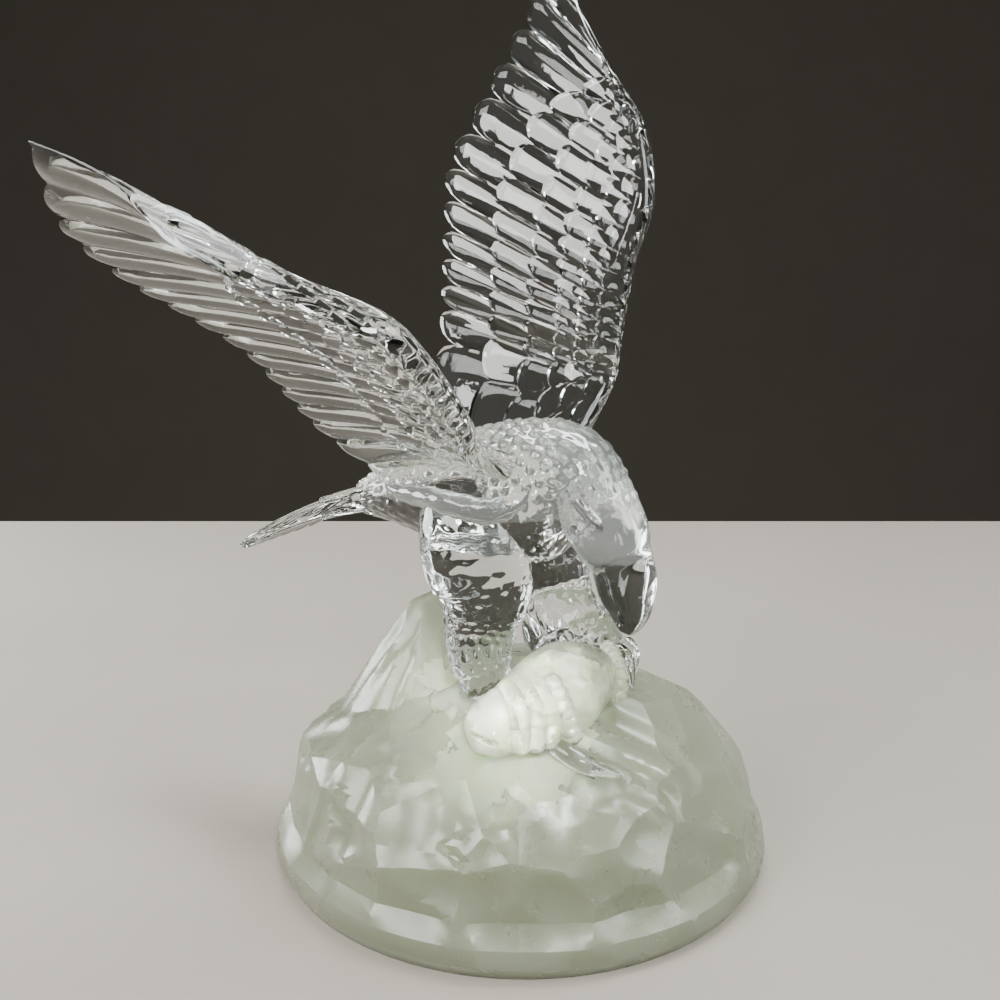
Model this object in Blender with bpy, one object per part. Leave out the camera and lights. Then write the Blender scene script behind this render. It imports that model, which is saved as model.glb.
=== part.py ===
"""Moulded glass eagle landing on a fish, cast in one with the rock dome that it stands on.

Metres, +Z up. The origin is the centre of the rock's flat underside, and the eagle faces +X.
"""

import math

import bmesh
import bpy
from mathutils import Vector

# Driving sizes: the rock
ROCK_RADIUS = 0.070
ROCK_HEIGHT = 0.053
FOOT_CHAMFER = 0.0016
FOOT_BAND = 0.006
ROCK_SQUARENESS = 2.25
CHIP_DEPTH = 0.0032
CRAG_RISE = 0.019
CRAG_RADIUS = 0.024
SHOULDER_RISE = 0.0026
SHOULDER_RADIUS = 0.028
ROCK_SEGMENTS = 56
ROCK_RINGS = 26

# Driving sizes: the eagle's body, whose places are shares of these lengths
LEG_LENGTH = 0.048
BODY_LENGTH = 0.090
BODY_WIDTH = 0.046
BODY_DEPTH = 0.040
LEG_WIDTH = 0.033
BODY_SIDES = 14

# Driving sizes: the wings and the tail
LEFT_WING_LENGTH = 0.145
RIGHT_WING_LENGTH = 0.134
WING_CHORD_SHARE = 0.525
WING_FEATHERS = 14
WING_THICKNESS = 0.0085
WING_ARCH_SHARE = 0.042
TAIL_LENGTH = 0.052
TAIL_WIDTH = 0.036
TAIL_FEATHERS = 7
TAIL_THICKNESS = 0.0105
TAIL_EDGE_THICKNESS = 0.0040
EDGE_THICKNESS = 0.0022
ROW_RISE = 0.0008
GROOVE_DEPTH = 0.0008
FEATHER_COLUMNS = 4
CREASE_DEGREES = 35

# Driving sizes: the fish and the feet
FISH_DEPTH = 0.025
FISH_WIDTH = 0.021
FISH_SIDES = 12
TOE_RADIUS = 0.0029
TOE_SIDES = 8

BODY_CENTRE = Vector((0, 0, ROCK_HEIGHT + LEG_LENGTH))

# The crag behind the legs, in shares of the rock's radius
CRAG_SHARES = (-0.42, -0.084)
# The swelling on the rock's flank below the crag, in shares of the radius and the height
SWELLING_SHARES = (-0.62, -0.36, 0.78)
# Rows of chips: share of the rock's height, chips in the row, share of a turn they start at
CHIP_ROWS = ((0.12, 10, 0.00), (0.40, 9, 0.37), (0.68, 8, 0.10), (0.90, 5, 0.55), (1.00, 1, 0.0))

# Which way each wing runs from its shoulder to its tip, and which way its feathers trail
LEFT_SPAN = Vector((-0.214, 0.236, 0.948)).normalized()
LEFT_BACK = Vector((-1, 0, 0))
RIGHT_SPAN = Vector((-0.407, -0.713, 0.566)).normalized()
RIGHT_BACK = Vector((-0.981, 0.164, -0.116)).normalized()
# Where each wing leaves the body, in shares of the body
LEFT_SHOULDER_SHARES = (0.094, 0.565, 0.30)
RIGHT_SHOULDER_SHARES = (0.08, -0.415, 0.155)

# Shares of wing length and chord: where feathers start along the arm, and where their tips end
LEFT_ARM_SHARES = (
    (0.00, 0.00), (0.103, -0.11), (0.176, -0.16), (0.248, -0.20),
    (0.345, -0.26), (0.469, -0.355), (0.615, -0.345), (0.759, -0.204),
)
RIGHT_ARM_SHARES = (
    (0.00, 0.00), (0.095, -0.05), (0.170, -0.11), (0.251, -0.18),
    (0.357, -0.265), (0.468, -0.31), (0.592, -0.172), (0.806, -0.118),
)
LEFT_TIP_SHARES = (
    (0.07, 0.64), (0.179, 0.636), (0.307, 0.583), (0.424, 0.549),
    (0.562, 0.507), (0.714, 0.325), (0.862, 0.154), (1.0, -0.013),
)
RIGHT_TIP_SHARES = (
    (0.07, 0.64), (0.18, 0.636), (0.313, 0.558), (0.448, 0.459),
    (0.575, 0.459), (0.70, 0.452), (0.855, 0.28), (1.020, -0.168),
)
# Shares of a feather's length: the rows' ends, from the flight feathers up to the smallest coverts
ROW_ENDS = (1.0, 0.68, 0.44, 0.27, 0.13)
ROW_STOPS = (0, 0.06, 0.15, 0.24, 0.30, 0.40, 0.48, 0.63, 0.72, 1.0)
TAIL_ROW_ENDS = (1.0, 0.42)
TAIL_STOPS = (0, 0.2, 0.36, 0.48, 0.75, 0.92, 1.0)


def spline(points, share):
    """The point a share of the way along a smooth curve through evenly spread points."""
    span = share * (len(points) - 1)
    i = min(int(span), len(points) - 2)
    f = span - i
    b, c = points[i], points[i + 1]
    a = points[i - 1] if i else b * 2 - c
    d = points[i + 2] if i + 2 < len(points) else c * 2 - b
    curve = a * (-f + 2 * f**2 - f**3) + b * (2 - 5 * f**2 + 3 * f**3)
    return (curve + c * (f + 4 * f**2 - 3 * f**3) + d * (f**3 - f**2)) / 2


def new_object(name, bm, collection):
    """A mesh object made from a bmesh, its bent quads split in two and its faces turned outwards."""
    bmesh.ops.triangulate(bm, faces=[f for f in bm.faces if len(f.verts) == 4])
    bmesh.ops.recalc_face_normals(bm, faces=bm.faces[:])
    mesh = bpy.data.meshes.new(name)
    bm.to_mesh(mesh)
    bm.free()
    mesh.shade_smooth()
    mesh.set_sharp_from_angle(angle=math.radians(CREASE_DEGREES))
    obj = bpy.data.objects.new(name, mesh)
    collection.objects.link(obj)
    return obj


# The rock


def dome_point(direction):
    """The smooth dome, rounded above a short upright band, along a direction from its centre."""
    flat = math.hypot(direction.x, direction.y) / ROCK_RADIUS
    high = abs(direction.z) / (ROCK_HEIGHT - FOOT_BAND)
    reach = (flat**ROCK_SQUARENESS + high**ROCK_SQUARENESS) ** (-1 / ROCK_SQUARENESS)
    return direction * reach + Vector((0, 0, FOOT_BAND))


def chips():
    """Planes that cut the dome into chips: their normals and their distances from the foot's centre."""
    planes = []
    for row, (height, count, start) in enumerate(CHIP_ROWS):
        for i in range(count):
            wobble = math.sin(12.9 * i + 7.3 * row)
            azimuth = math.tau * (start + (i + 0.22 * wobble) / count)
            lift = math.asin(min(1.0, height + 0.05 * math.sin(5.1 * i + 2.7 * row)))
            flat = math.cos(lift)
            toward = Vector((math.cos(azimuth) * flat, math.sin(azimuth) * flat, math.sin(lift)))
            point = dome_point(toward)
            tilt = Vector((math.cos(azimuth + 2 * wobble), math.sin(azimuth + 2 * wobble), 0.5 * wobble)) * 0.12
            normal = Vector((point.x / ROCK_RADIUS**2, point.y / ROCK_RADIUS**2, point.z / ROCK_HEIGHT**2))
            normal = (normal.normalized() + tilt).normalized()
            planes.append((normal, normal.dot(point) - CHIP_DEPTH * (1 + 0.35 * wobble)))
    return planes


def rock_point(direction, planes):
    """The rock's surface along a direction from the foot's centre, with the crag at the back."""
    point = dome_point(direction)
    share = 1.0
    for normal, distance in planes:
        facing = normal.dot(point)
        if facing > distance:
            share = min(share, distance / facing)
    fade = min(1.0, max(0.0, (point.z - FOOT_BAND) / FOOT_BAND))
    point *= 1 - (1 - share) * fade
    x, y, z = SWELLING_SHARES
    away = (point - Vector((x * ROCK_RADIUS, y * ROCK_RADIUS, z * ROCK_HEIGHT))).length / SHOULDER_RADIUS
    point += direction * SHOULDER_RISE * max(0.0, 1 - away * away)
    away = (point.xy - Vector(CRAG_SHARES) * ROCK_RADIUS).length / CRAG_RADIUS
    point.z += CRAG_RISE * min(1.0, 1.25 * max(0.0, 1 - away))
    return point


def rock(collection):
    """The dome, chipped all over, with a flat ground foot."""
    bm = bmesh.new()
    bmesh.ops.create_uvsphere(bm, u_segments=ROCK_SEGMENTS, v_segments=ROCK_RINGS, radius=1)
    bmesh.ops.delete(bm, geom=[v for v in bm.verts if v.co.z < -1e-4], context="VERTS")
    planes = chips()
    for v in bm.verts:
        v.co = rock_point(v.co.normalized(), planes)
    foot = [e for e in bm.edges if e.is_boundary]
    for v in {v for e in foot for v in e.verts}:
        v.co.z = 2 * FOOT_CHAMFER
    ring = bmesh.ops.extrude_edge_only(bm, edges=foot)["geom"]
    low = [g for g in ring if isinstance(g, bmesh.types.BMVert)]
    for v in low:
        v.co.z = 0
        v.co.xy *= 1 - FOOT_CHAMFER / ROCK_RADIUS
    bmesh.ops.contextual_create(bm, geom=low)
    return new_object("rock", bm, collection)


# Lofted forms: body, legs, toes and fish


def loft(name, stations, sides, sideways, collection):
    """A closed form through oval sections: (centre, half width, half depth), swept along their centres."""
    bm = bmesh.new()
    rings = []
    centres = [s[0] for s in stations]
    for i, (centre, half_width, half_depth) in enumerate(stations):
        ahead = centres[min(i + 1, len(centres) - 1)] - centres[max(i - 1, 0)]
        ahead.normalize()
        across = sideways - ahead * sideways.dot(ahead)
        across.normalize()
        up = ahead.cross(across)
        ring = []
        for k in range(sides):
            angle = math.tau * k / sides
            point = centre + across * half_width * math.cos(angle) + up * half_depth * math.sin(angle)
            ring.append(bm.verts.new(point))
        rings.append(ring)
    for a, b in zip(rings, rings[1:]):
        for k in range(sides):
            bm.faces.new((a[k], a[(k + 1) % sides], b[(k + 1) % sides], b[k]))
    bm.faces.new(rings[0])
    bm.faces.new(rings[-1])
    return new_object(name, bm, collection)


def smooth_stations(stations, count):
    """More sections than the given ones, on a smooth curve through them."""
    shares = [i / (count - 1) for i in range(count)]
    centres = [s[0] for s in stations]
    widths = [s[1] for s in stations]
    depths = [s[2] for s in stations]
    return [(spline(centres, f), spline(widths, f), spline(depths, f)) for f in shares]


def on_body(x, y, z):
    """A place in shares of the body's length, width and depth from its centre."""
    return BODY_CENTRE + Vector((x * BODY_LENGTH, y * BODY_WIDTH, z * BODY_DEPTH))


def trunk(name, sections, count, collection):
    """A form along the body's middle plane: x, z, half width and half depth in shares of the body."""
    stations = [(on_body(x, 0, z), w * BODY_WIDTH, h * BODY_DEPTH) for x, z, w, h in sections]
    return loft(name, smooth_stations(stations, count), BODY_SIDES, Vector((0, 1, 0)), collection)


def torso(collection):
    """From the root of the tail, along the back and over the shoulders."""
    sections = (
        (-0.60, -0.18, 0.14, 0.12),
        (-0.42, -0.08, 0.30, 0.26),
        (-0.20, -0.02, 0.43, 0.41),
        (0.00, 0.03, 0.49, 0.49),
        (0.12, 0.05, 0.45, 0.47),
        (0.21, 0.03, 0.33, 0.38),
    )
    return trunk("torso", sections, 12, collection)


def head(collection):
    """The head bent down over the fish, with its brows, ending in a hooked beak."""
    sections = (
        (0.070, 0.170, 0.35, 0.40),
        (0.170, 0.155, 0.315, 0.34),
        (0.246, -0.01, 0.26, 0.285),
        (0.303, -0.225, 0.222, 0.255),
        (0.341, -0.41, 0.17, 0.222),
        (0.353, -0.575, 0.120, 0.203),
        (0.361, -0.70, 0.085, 0.159),
        (0.358, -0.80, 0.056, 0.100),
        (0.350, -0.86, 0.030, 0.045),
    )
    trunk("head", sections, 15, collection)
    brow = (
        (0.180, 0.200, 0.16, 0.030),
        (0.255, 0.235, 0.05, 0.065),
        (0.310, 0.200, -0.10, 0.050),
        (0.345, 0.110, -0.30, 0.020),
    )
    for side in (-1, 1):
        stations = [(on_body(x, side * y, z), r * BODY_DEPTH, r * BODY_DEPTH) for x, y, z, r in brow]
        name = "brow_left" if side > 0 else "brow_right"
        loft(name, smooth_stations(stations, 7), TOE_SIDES, Vector((0, 1, 0)), collection)


def leg(side, collection):
    """A feathered thigh and shin: x and y in shares of the body, share of the way down, half sizes."""
    if side > 0:
        name = "leg_left"
        sections = (
            (-0.05, 0.22, -0.35, 0.30, 0.36),
            (-0.01, 0.28, 0.05, 0.38, 0.42),
            (0.05, 0.29, 0.50, 0.27, 0.32),
            (0.11, 0.18, 0.70, 0.47, 0.33),
            (0.20, 0.20, 0.90, 0.48, 0.26),
            (0.25, 0.23, 1.04, 0.38, 0.19),
        )
    else:
        name = "leg_right"
        sections = (
            (-0.11, -0.22, -0.40, 0.32, 0.42),
            (-0.065, -0.35, 0.02, 0.42, 0.45),
            (-0.03, -0.34, 0.32, 0.41, 0.40),
            (-0.03, -0.38, 0.56, 0.33, 0.30),
            (-0.01, -0.45, 0.76, 0.27, 0.26),
            (0.04, -0.49, 1.00, 0.17, 0.16),
        )
    hip = BODY_CENTRE.z - 0.25 * BODY_DEPTH
    stations = []
    for x, y, down, width, depth in sections:
        centre = on_body(x, y, 0)
        centre.z = hip + (ROCK_HEIGHT - 0.06 * LEG_LENGTH - hip) * down
        stations.append((centre, width * LEG_WIDTH, depth * LEG_WIDTH))
    return loft(name, smooth_stations(stations, 9), BODY_SIDES, Vector((0, 1, 0)), collection)


# The fish, lying across the top of the rock, and the feet that grip it


def on_top(x, y, z):
    """A place in shares of the body's length and width, and of the fish's depth above the dome."""
    place = Vector((x * BODY_LENGTH, y * BODY_WIDTH, 0))
    flat = min(1.0, place.length / ROCK_RADIUS)
    dome = (ROCK_HEIGHT - FOOT_BAND) * (1 - flat**ROCK_SQUARENESS) ** (1 / ROCK_SQUARENESS)
    place.z = FOOT_BAND + dome + z * FISH_DEPTH
    return place


def fish(collection):
    """Snout, head, deep body, narrow tail root and the start of the tail fin."""
    sections = (
        (0.086, -0.913, 0.11, 0.32),
        (0.121, -0.837, 0.11, 0.60),
        (0.175, -0.685, 0.12, 0.80),
        (0.241, -0.411, 0.18, 1.04),
        (0.268, -0.183, 0.15, 0.80),
        (0.268, 0.046, 0.04, 0.46),
        (0.257, 0.274, -0.06, 0.40),
    )
    stations = [
        (on_top(x, y, z), full * FISH_WIDTH / 2, full * FISH_DEPTH / 2) for x, y, z, full in sections
    ]
    return loft("fish", smooth_stations(stations, 15), FISH_SIDES, Vector((0.9, -0.4, 0)), collection)


TOE_SHARES = {
    "toe_right_1": ((0.140, -0.670, 0.42), (0.210, -0.791, 0.45), (0.233, -0.822, 0.28), (0.229, -0.822, -0.01)),
    "toe_right_2": ((0.156, -0.624, 0.46), (0.241, -0.730, 0.47), (0.264, -0.761, 0.26), (0.261, -0.776, -0.01)),
    "toe_right_3": ((0.171, -0.563, 0.51), (0.264, -0.685, 0.49), (0.292, -0.700, 0.26), (0.288, -0.708, -0.01)),
    "toe_right_4": ((0.187, -0.502, 0.57), (0.288, -0.639, 0.52), (0.319, -0.624, 0.27), (0.334, -0.586, -0.01)),
    "toe_left_1": ((0.257, 0.152, 0.30), (0.299, 0.046, 0.31), (0.334, -0.015, 0.21), (0.358, -0.107, -0.02)),
}
CLAW_SHARES = {
    "claw_right": ((0.280, -0.685, 0.02), (0.389, -0.685, 0.00), (0.490, -0.593, -0.02)),
    "claw_left_1": ((0.268, 0.198, 0.29), (0.319, 0.167, 0.23), (0.358, 0.107, 0.00)),
    "claw_left_2": ((0.264, 0.380, 0.31), (0.303, 0.320, 0.20), (0.327, 0.259, -0.01)),
}


def digits(collection):
    """Toes over the fish, and claws tapering down onto the rock."""
    for name, places in TOE_SHARES.items():
        stations = [(on_top(*place), TOE_RADIUS, TOE_RADIUS) for place in places]
        sideways = (stations[-1][0] - stations[0][0]).cross(Vector((0, 0, 1)))
        loft(name, smooth_stations(stations, 7), TOE_SIDES, sideways, collection)
    for name, places in CLAW_SHARES.items():
        shares = (0.80, 0.90, 0.20)
        stations = [(on_top(*p), f * TOE_RADIUS, f * TOE_RADIUS) for p, f in zip(places, shares)]
        sideways = (stations[-1][0] - stations[0][0]).cross(Vector((0, 0, 1)))
        loft(name, smooth_stations(stations, 6), TOE_SIDES, sideways, collection)


# Wings and tail: a fan of feathers in overlapping rows


def feather_relief(s, t, feathers, row_ends):
    """Rise of the carved feathers above the blade: rounded rows, the smaller lying on the larger."""
    rise = 0.0
    for row, end in enumerate(row_ends):
        place = s * feathers + 0.5 * (row % 2)
        across = 2 * (place - math.floor(place)) - 1
        bow = math.sqrt(max(0.0, 1 - across**2))
        reach = end - 0.10 * (1 - bow)
        if t <= reach or row == 0:
            rise = row * ROW_RISE + GROOVE_DEPTH * (bow - 1)
    return rise


def blade(name, roots, tips, feathers, row_ends, stops, thickness, edge, dorsal, collection):
    """A closed fan of feathers between a root line and a tip line, carved on both faces."""
    bm = bmesh.new()
    columns = feathers * FEATHER_COLUMNS
    bmesh.ops.create_grid(bm, x_segments=columns, y_segments=len(stops) - 1, size=1)
    top = bmesh.ops.extrude_face_region(bm, geom=bm.faces[:], use_keep_orig=True)["geom"]
    upper = {v for v in top if isinstance(v, bmesh.types.BMVert)}

    def middle(s, t):
        place = s * feathers
        across = 2 * (place - math.floor(place)) - 1 if 0 < s < 1 else 0.0
        scallop = 0.11 * (1 - math.sqrt(max(0.0, 1 - across**2)))
        reach = t * (1 - scallop * t**4)
        return spline(roots, s).lerp(spline(tips, s), reach) + dorsal * 0.25 * thickness * math.sin(math.pi * t)

    carved = ROW_RISE * (len(row_ends) - 1)
    for v in bm.verts:
        s = round((v.co.x + 1) / 2 * columns) / columns
        t = stops[round((v.co.y + 1) / 2 * (len(stops) - 1))]
        core = edge / 2 + ((thickness - edge) / 2 - carved) * (1 - t) ** 1.4
        rim = math.sqrt(min(1.0, 0.16 + 5 * t)) * math.sqrt(min(1.0, 0.3 + 6 * (1 - s)))
        half = (core + feather_relief(s, t, feathers, row_ends)) * rim
        v.co = middle(s, t) + dorsal * (half if v in upper else -half)
    return new_object(name, bm, collection)


def wing(side, collection):
    """A raised wing. Its root lies inside the body, from the shoulder to the rump."""
    if side > 0:
        name, span, back = "wing_left", LEFT_SPAN, LEFT_BACK
        arm_line, tip_line = LEFT_ARM_SHARES, LEFT_TIP_SHARES
        length, shoulder = LEFT_WING_LENGTH, on_body(*LEFT_SHOULDER_SHARES)
    else:
        name, span, back = "wing_right", RIGHT_SPAN, RIGHT_BACK
        arm_line, tip_line = RIGHT_ARM_SHARES, RIGHT_TIP_SHARES
        length, shoulder = RIGHT_WING_LENGTH, on_body(*RIGHT_SHOULDER_SHARES)
    dorsal = span.cross(back) * side
    dorsal.normalize()

    def placed(line):
        points = []
        for p, q in line:
            arch = WING_ARCH_SHARE * math.sin(math.pi * min(1.0, p))
            points.append(shoulder + (span * p + back * q * WING_CHORD_SHARE + dorsal * arch) * length)
        return points

    roots = [on_body(0.11, side * 0.20, 0.20), *placed(arm_line[1:])]
    tips = [on_body(-0.44, side * 0.10, -0.04), *placed(tip_line[1:])]
    sizes = (WING_THICKNESS, EDGE_THICKNESS)
    return blade(name, roots, tips, WING_FEATHERS, ROW_ENDS, ROW_STOPS, *sizes, dorsal, collection)


def tail(collection):
    """A closed fan behind the body, dropping a little to its end."""
    root = on_body(-0.46, 0, -0.10)
    drop = -0.41 * TAIL_LENGTH
    roots = [root + Vector((0, w * TAIL_WIDTH, 0)) for w in (-0.20, -0.10, 0, 0.10, 0.20)]
    tips = [
        root + Vector((-TAIL_LENGTH * reach, w * TAIL_WIDTH, drop * reach))
        for w, reach in ((-0.5, 0.90), (-0.27, 0.98), (0, 1.0), (0.27, 0.98), (0.5, 0.90))
    ]
    up = Vector((0, 0, 1))
    sizes = (TAIL_THICKNESS, TAIL_EDGE_THICKNESS)
    return blade("tail", roots, tips, TAIL_FEATHERS, TAIL_ROW_ENDS, TAIL_STOPS, *sizes, up, collection)


def glass():
    """Clear lead crystal, satin-etched on the rock."""
    material = bpy.data.materials.new("crystal")
    material.use_nodes = True
    shader = material.node_tree.nodes["Principled BSDF"]
    shader.inputs["Base Color"].default_value = (0.90, 0.95, 0.92, 1)
    shader.inputs["Roughness"].default_value = 0.08
    shader.inputs["Metallic"].default_value = 0.0
    shader.inputs["Transmission Weight"].default_value = 1.0
    shader.inputs["IOR"].default_value = 1.54
    return material


def main():
    for obj in list(bpy.data.objects):
        bpy.data.objects.remove(obj)
    shown = bpy.data.collections.new("glass eagle sculpture")
    forms = bpy.data.collections.new("forms cast together")
    for collection in (shown, forms):
        bpy.context.scene.collection.children.link(collection)
    casting = rock(shown)
    casting.name = "eagle_on_rock"
    casting.data.materials.append(glass())
    fish(forms)
    digits(forms)
    for side in (-1, 1):
        leg(side, forms)
    torso(forms)
    head(forms)
    tail(forms)
    for side in (-1, 1):
        wing(side, forms)
    for form in forms.objects:
        form.hide_render = True
        form.display_type = "WIRE"
        union = casting.modifiers.new(f"add {form.name}", "BOOLEAN")
        union.operation = "UNION"
        union.object = form


main()
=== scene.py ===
"""Moulded glass eagle gripping a fish on a satin-etched rock, dressed and lit on a plain table."""

import itertools
import math

import bmesh
import bpy
from mathutils import Matrix, Vector


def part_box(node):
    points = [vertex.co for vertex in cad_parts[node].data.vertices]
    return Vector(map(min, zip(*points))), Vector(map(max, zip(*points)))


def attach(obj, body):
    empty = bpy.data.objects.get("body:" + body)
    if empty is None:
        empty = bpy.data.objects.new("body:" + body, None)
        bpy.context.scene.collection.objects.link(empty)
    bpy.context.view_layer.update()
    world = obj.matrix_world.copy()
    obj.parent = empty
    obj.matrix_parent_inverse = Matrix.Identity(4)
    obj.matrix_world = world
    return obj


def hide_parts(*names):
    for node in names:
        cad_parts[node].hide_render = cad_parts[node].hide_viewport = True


bl_info = {
    "name": "Glass eagle sculpture",
    "version": (1, 0, 0),
    "blender": (4, 5, 0),
    "location": "View3D > Sidebar > Glass eagle",
    "description": "Moulds a glass eagle on its satin-etched rock and sets up the table it stands on",
    "category": "Object",
}

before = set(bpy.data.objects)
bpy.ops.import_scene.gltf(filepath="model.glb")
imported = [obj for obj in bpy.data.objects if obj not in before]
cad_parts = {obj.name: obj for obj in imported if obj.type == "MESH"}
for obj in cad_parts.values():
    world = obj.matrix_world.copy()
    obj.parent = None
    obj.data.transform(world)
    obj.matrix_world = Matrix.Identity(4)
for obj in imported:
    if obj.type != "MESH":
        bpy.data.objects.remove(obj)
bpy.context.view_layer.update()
CASTING = "eagle_on_rock"
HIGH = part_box(CASTING)[1]

# The finishes of the casting, as material slots of every form: polished, etched rock, satin fish and
# toes, and glass made milky by dense carving
CLEAR, ETCHED, SATIN, CARVED = 0, 1, 2, 3

# The middle of a noise's values, which a finish spreads over its own range
NOISE_MIDDLE = (0.3, 0.7)

# Edges that turn more than this stay crisp, on the rock and on the carved forms
ROCK_CREASE = math.radians(16)
CARVING_CREASE = math.radians(38)

# The rock: its radius, its height to the top of the dome, and its foot
ROCK_RADIUS = HIGH.x
ROCK_HEIGHT = 0.053
FOOT_BAND = 0.006
FOOT_CHAMFER = 0.0016
ROCK_SQUARENESS = 2.25
# The crag behind the feet, a cone with a flat top, and the swelling beside it: how high they rise, how
# far they reach, and their middles as shares of the rock's radius and height
CRAG_RISE = 0.019
CRAG_RADIUS = 0.024
CRAG_STEEPNESS = 1.25
CRAG = (-0.42, -0.084)
SWELLING_RISE = 0.0026
SWELLING_RADIUS = 0.028
SWELLING = (-0.62, -0.36, 0.78)
# Chips seen from the front: azimuth in degrees and share of the rock's height of each one's middle.
# The last three lie where the others would rise over the dome
FRONT_CHIPS = (
    (-104, 0.24), (-86, 0.18), (-99, 0.09), (-68, 0.35), (-52, 0.35), (-37, 0.31), (-71, 0.16),
    (-53, 0.14), (-37, 0.12), (-21, 0.19), (-9, 0.28), (-115, 0.31), (-100, 0.37), (-92, 0.53),
    (-86, 0.62), (-75, 0.46), (-72, 0.56), (-54, 0.50), (-36, 0.46), (-13, 0.48), (-23, 0.42),
    (-106, 0.58), (-104, 0.71), (-123, 0.62), (-119, 0.46), (-95, 0.74), (-87, 0.82), (-66, 0.75),
    (-74, 0.66), (-54, 0.69), (-41, 0.71), (-35, 0.59), (-22, 0.61), (-19, 0.75), (-5, 0.63),
    (1, 0.50), (13, 0.61), (-104, 0.89), (-116, 0.82), (-133, 0.78), (1, 0.78), (-4, 0.87),
    (25, 0.71), (14, 0.86), (-51, 0.81), (-133, 0.90), (-34, 0.80), (-99, 0.95),
    (4, 0.22), (-129, 0.22), (-154, 0.90),
)
# The chips round the rest of the rock: rows at a share of its height, between two azimuths
BACK_CHIP_ROWS = ((0.14, 9), (0.34, 9), (0.54, 8), (0.72, 7), (0.88, 5))
BACK_START = 12
BACK_END = 214
# How far a chip leans away from the dome's own slope
CHIP_LEAN = 0.13
# The height above the foot's band over which the chips fade out
CHIP_FADE = 0.0065
# How much deeper a chip is in its middle than at its edges, and how soon, as shares of the radius
CHIP_DISH = 0.007
CHIP_DISH_EDGE = 0.02
# Points of the rock's mesh this near a crease count as on it, and points closer than the sliver are
# merged, so that no thin face is left along a crease
ON_CREASE = 5e-5
SLIVER = 0.0004
ROCK_SEGMENTS = 200
ROCK_RINGS = 66
# Gouges seen from the front: azimuth in degrees and share of the rock's height where each starts and
# ends, half width and depth in metres
GOUGES = (
    ((-39, 0.89), (-18, 0.64), 0.0042, 0.0022),
    ((-14, 0.91), (-5, 0.68), 0.0065, 0.0020),
    ((-32, 0.71), (-16, 0.40), 0.0055, 0.0017),
    ((-20, 0.55), (-10, 0.30), 0.0080, 0.0016),
    ((-149, 0.93), (-137, 0.56), 0.0036, 0.0016),
    ((-155, 0.90), (-147, 0.50), 0.0040, 0.0018),
    ((-140, 0.92), (-121, 0.72), 0.0036, 0.0015),
    ((-166, 0.90), (-160, 0.50), 0.0045, 0.0018),
    ((-128, 0.88), (-118, 0.58), 0.0045, 0.0016),
    ((-107, 0.76), (-106, 0.44), 0.0075, 0.0023),
    ((-119, 0.50), (-117, 0.26), 0.0080, 0.0019),
    ((-89, 0.66), (-87, 0.54), 0.0085, 0.0019),
    ((-76, 0.80), (-73, 0.70), 0.0110, 0.0016),
    ((-56, 0.70), (-52, 0.58), 0.0105, 0.0017),
    ((-101, 0.30), (-94, 0.26), 0.0085, 0.0018),
    ((-79, 0.41), (-69, 0.37), 0.0085, 0.0018),
    ((-89, 0.24), (-80, 0.19), 0.0070, 0.0015),
    ((-54, 0.36), (-48, 0.31), 0.0085, 0.0019),
    ((-40, 0.33), (-35, 0.28), 0.0090, 0.0019),
    ((-67, 0.24), (-60, 0.20), 0.0075, 0.0016),
    ((-14, 0.52), (-9, 0.46), 0.0085, 0.0017),
    ((-101, 0.87), (-98, 0.81), 0.0100, 0.0016),
    ((-78, 0.62), (-73, 0.60), 0.0024, 0.0016),
    ((-79, 0.54), (-74, 0.50), 0.0030, 0.0020),
    ((-88, 0.59), (-85, 0.52), 0.0022, 0.0016),
    ((-53, 0.52), (-50, 0.50), 0.0022, 0.0014),
)
# The rest of the gouges: rows all round, each with its share of the rock's height, how many there are
# and the share of a turn that it starts at
GOUGE_ROWS = ((0.22, 9, 0.20), (0.47, 8, 0.05), (0.70, 7, 0.30))
GOUGE_WIDTH = 0.0080
GOUGE_DEPTH = 0.0015
# No gouge reaches further than this from its start
GOUGE_REACH = 0.04

# Level directions along the camera's line of sight, across it, and to the eagle's left
HEADING = Vector((-0.5, 0.866, 0)).normalized()
ASIDE = Vector((0.866, 0.5, 0)).normalized()
LEFTWARDS = Vector((0, 1, 0))

# The seam that the mould's halves leave on the etched glass: a fine ridge in an upright plane, which lies
# along the line of sight, so far to the side of the foot's centre
SEAM_OFFSET = -0.0015
SEAM_WIDTH = 0.0004
SEAM_RISE = 0.00009
SEAM_LOWEST = 2.1 * FOOT_CHAMFER

# The eagle's body
LEG_LENGTH = 0.048
BODY_LENGTH = 0.090
BODY_WIDTH = 0.046
BODY_DEPTH = 0.040
LEG_WIDTH = 0.033
BODY_CENTRE = Vector((0, 0, ROCK_HEIGHT + LEG_LENGTH))
# Below these shares of the body's depth the back and the head are polished
BELLY_TOP = -0.06
BEAK_TOP = -0.34
# A brow and an eye: places in shares of the body's sizes, and the brow's radius as a share of its depth
BROW = (
    (0.18, 0.18, 0.16, 0.02), (0.255, 0.225, 0.05, 0.050),
    (0.31, 0.19, -0.10, 0.045), (0.345, 0.09, -0.30, 0.02),
)
EYE = (0.252, 0.245, -0.10)
EYE_RADIUS = 0.0021
# The fold of feathers that hangs over each thigh: places in shares of the body's sizes, and thickness
FOLD_WIDTH = 0.0060
FOLD_DEPTH = 0.0068
FOLD = (
    (-0.40, 0.30, 0.02, 0.4), (-0.30, 0.37, 0.01, 0.8), (-0.18, 0.46, 0.03, 1.0), (-0.07, 0.54, 0.03, 1.1),
    (0.03, 0.52, 0.01, 1.1), (0.09, 0.46, 0.05, 0.9), (0.14, 0.38, 0.15, 0.6),
)

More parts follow.
